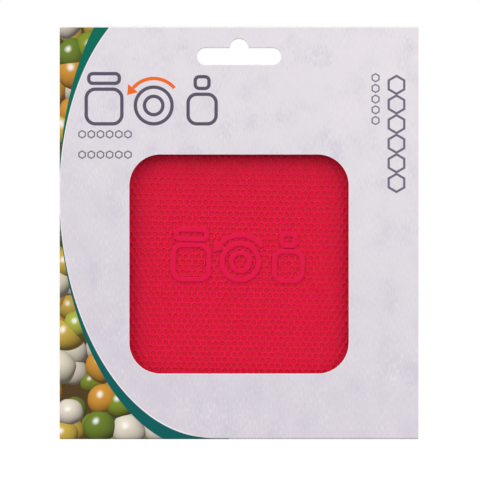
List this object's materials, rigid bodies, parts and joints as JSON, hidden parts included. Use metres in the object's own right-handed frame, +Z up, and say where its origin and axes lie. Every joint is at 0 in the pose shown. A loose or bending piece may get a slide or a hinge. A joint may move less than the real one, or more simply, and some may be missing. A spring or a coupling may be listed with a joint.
{
  "type": "rubber jar opener",
  "caption": "Square silicone grip pad in a folded card sleeve with a window and hang slot; the pad slides out at the open sides and the sleeve unfolds at its creases.",
  "frame": {"origin": "in the hang slot, at the top of its hump, midway between the two layers of the header", "axes": "+Z up as the pack hangs, +X to the right seen from the front, front towards -Y"},
  "size_m": [0.141, 0.0072, 0.1623],
  "materials": {
    "silicone": "satin moulded silicone with honeycomb relief",
    "printed_board": "matte printed board",
    "glue": "dried clear glue"
  },
  "bodies": {
    "front": {"front_panel": "printed_board"},
    "pad": {"grip_pad": "silicone"},
    "gusset": {"bottom_gusset": "printed_board"},
    "back": {"back_panel": "printed_board"},
    "shoulder": {"shoulder_panel": "printed_board"},
    "header": {"back_header": "printed_board", "glue_strip_left": "glue", "glue_strip_right": "glue"}
  },
  "joints": [
    {"name": "pad_slide", "type": "slide", "parent": "front", "child": "pad", "axis": [1, 0, 0], "range_m": [-0.145, 0.145]},
    {"name": "front_crease", "type": "hinge", "parent": "front", "child": "gusset", "pos_m": [0, -0.00042, -0.15714], "axis": [-1, 0, 0], "range_deg": [0, 90]},
    {"name": "back_crease", "type": "hinge", "parent": "gusset", "child": "back", "pos_m": [0, 0.00628, -0.15714], "axis": [-1, 0, 0], "range_deg": [0, 90]},
    {"name": "shoulder_crease", "type": "hinge", "parent": "back", "child": "shoulder", "pos_m": [0, 0.00628, -0.0184], "axis": [-1, 0, 0], "range_deg": [0, 45]},
    {"name": "header_crease", "type": "hinge", "parent": "shoulder", "child": "header", "pos_m": [0, 0.00042, -0.01255], "axis": [-1, 0, 0], "range_deg": [0, 80]}
  ]
}
